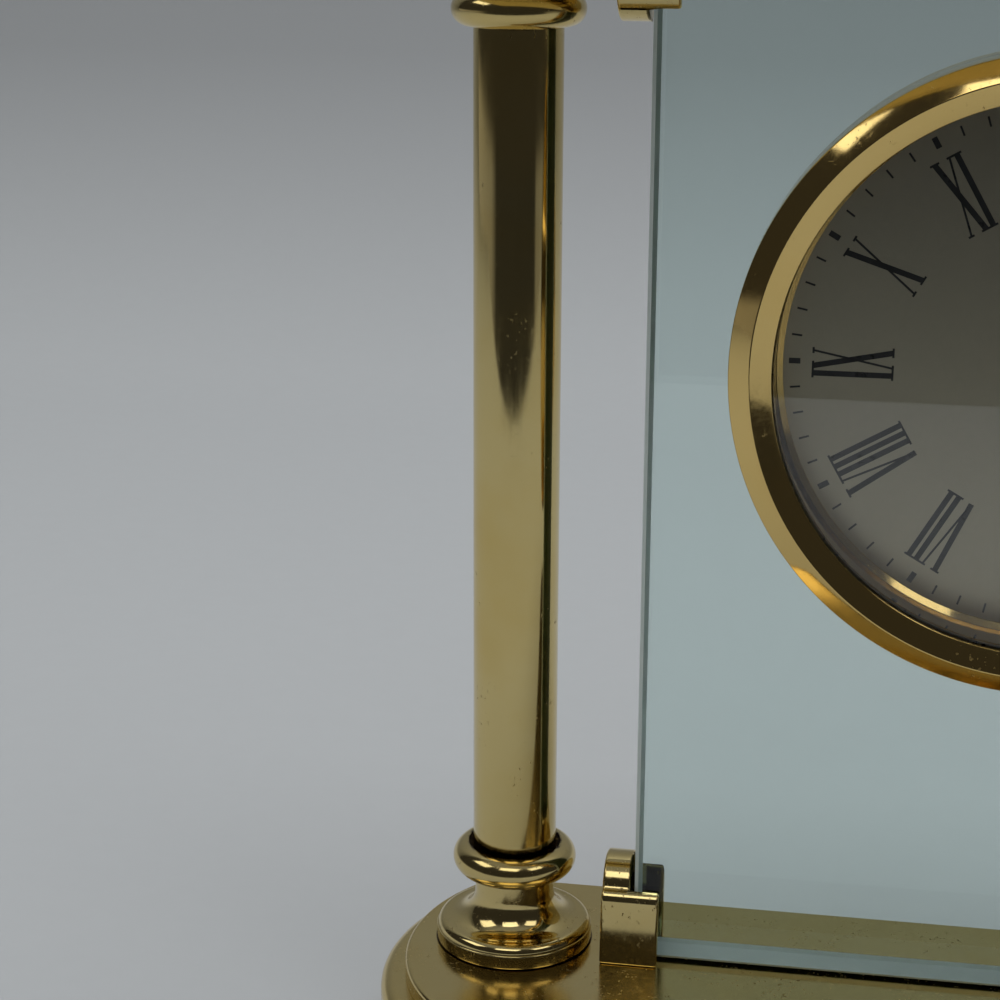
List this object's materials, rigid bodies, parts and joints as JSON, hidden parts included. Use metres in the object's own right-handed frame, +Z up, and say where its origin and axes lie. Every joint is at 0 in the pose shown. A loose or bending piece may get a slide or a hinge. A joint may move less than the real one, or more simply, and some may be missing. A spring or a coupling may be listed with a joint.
{
  "type": "desk clock",
  "caption": "Brass column desk clock: stepped bow-ended base and top on turned columns, thick clipped glass pane holding a round dial insert with hour and minute hands.",
  "frame": {"origin": "centre of the underside of the base, on the surface it stands on", "axes": "+X to the right seen from the front, the dial faces -Y, +Z up"},
  "size_m": [0.1906, 0.0524, 0.1952],
  "materials": {
    "polished_brass": "polished and lacquered, aged, with small tarnish specks",
    "tube_brass": "polished and lacquered tube with fine lengthwise scratches and pits",
    "bezel_brass": "bright polished gold-coloured brass",
    "felt": "dark green felt",
    "plated_steel": "zinc plated",
    "cast_iron": "rough casting",
    "pane_glass": "clear float glass with polished arris, faint green-blue tint",
    "lens_glass": "clear flat mineral glass",
    "clear_liner": "translucent soft plastic",
    "gasket_rubber": "black rubber",
    "silvered_dial": "satin silver-champagne with black printed numerals",
    "black_hand": "semi-gloss black",
    "dark_plastic": "moulded black plastic",
    "white_plastic": "moulded white plastic",
    "gear_brass": "cut brass",
    "gear_plastic": "moulded acetal",
    "arbor_steel": "turned steel",
    "coil_copper": "enamelled copper wire",
    "board_green": "glass-fibre board with green mask",
    "cell_wrap": "plain printed sleeve, no lettering"
  },
  "bodies": {
    "frame": {"base_plinth": "polished_brass", "base_plate": "polished_brass", "top_plate": "polished_brass", "top_cap": "polished_brass", "column_foot_left": "polished_brass", "column_foot_right": "polished_brass", "column_capital_left": "polished_brass", "column_capital_right": "polished_brass", "clip_lower_left": "polished_brass", "clip_lower_right": "polished_brass", "clip_upper_left": "polished_brass", "clip_upper_right": "polished_brass", "cap_nuts": "polished_brass", "column_tube_left": "tube_brass", "column_tube_right": "tube_brass", "bezel": "bezel_brass", "dial_hold_ring": "bezel_brass", "case_cup": "bezel_brass", "ring_nut": "bezel_brass", "back_cover": "bezel_brass", "dial_nut": "bezel_brass", "base_felt": "felt", "base_closing_plate": "plated_steel", "base_screws": "plated_steel", "tie_rods": "plated_steel", "rod_nuts": "plated_steel", "rod_washers": "plated_steel", "clip_screws": "plated_steel", "movement_screws": "plated_steel", "contact_minus": "plated_steel", "contact_plus": "plated_steel", "coil_core": "plated_steel", "stator": "plated_steel", "base_weight": "cast_iron", "glass_pane": "pane_glass", "lens": "lens_glass", "clip_liners": "clear_liner", "lens_gasket": "gasket_rubber", "front_gasket": "gasket_rubber", "rear_gasket": "gasket_rubber", "dial": "silvered_dial", "movement_front": "dark_plastic", "movement_back": "dark_plastic", "movement_bridge": "white_plastic", "coil_winding": "coil_copper", "circuit_board": "board_green", "battery": "cell_wrap"},
    "minute_train": {"minute_arbor": "arbor_steel", "centre_wheel": "gear_brass", "minute_hand": "black_hand", "hand_cap": "bezel_brass"},
    "hour_train": {"hour_wheel": "gear_plastic", "hour_hand": "black_hand"},
    "motion_wheel": {"minute_wheel": "gear_plastic"},
    "setting": {"setting_arbor": "arbor_steel", "set_knob": "dark_plastic"},
    "reduction": {"reduction_wheel": "white_plastic"},
    "rotor_unit": {"rotor": "arbor_steel"}
  },
  "joints": [
    {"name": "minute_turn", "type": "hinge", "parent": "frame", "child": "minute_train", "pos_m": [0, 0.00625, 0.1123], "axis": [0, 1, 0], "continuous": true},
    {"name": "hour_turn", "type": "hinge", "parent": "frame", "child": "hour_train", "pos_m": [0, 0.00285, 0.1123], "axis": [0, 1, 0], "continuous": true},
    {"name": "motion_turn", "type": "hinge", "parent": "frame", "child": "motion_wheel", "pos_m": [0.006, 0.00425, 0.12269], "axis": [0, 1, 0], "continuous": true},
    {"name": "setting_turn", "type": "hinge", "parent": "frame", "child": "setting", "pos_m": [0.01782, 0.01025, 0.12478], "axis": [0, 1, 0], "continuous": true},
    {"name": "reduction_turn", "type": "hinge", "parent": "frame", "child": "reduction", "pos_m": [-0.01061, 0.00825, 0.11843], "axis": [0, 1, 0], "continuous": true},
    {"name": "rotor_turn", "type": "hinge", "parent": "frame", "child": "rotor_unit", "pos_m": [-0.01139, 0.00825, 0.12739], "axis": [0, 1, 0], "continuous": true}
  ],
  "couplings": [
    {"joint": "hour_turn", "follows": "minute_turn", "ratio": 0.083333},
    {"joint": "motion_turn", "follows": "minute_turn", "ratio": -0.33333},
    {"joint": "setting_turn", "follows": "minute_turn", "ratio": 1},
    {"joint": "reduction_turn", "follows": "minute_turn", "ratio": -6},
    {"joint": "rotor_turn", "follows": "minute_turn", "ratio": 30}
  ]
}
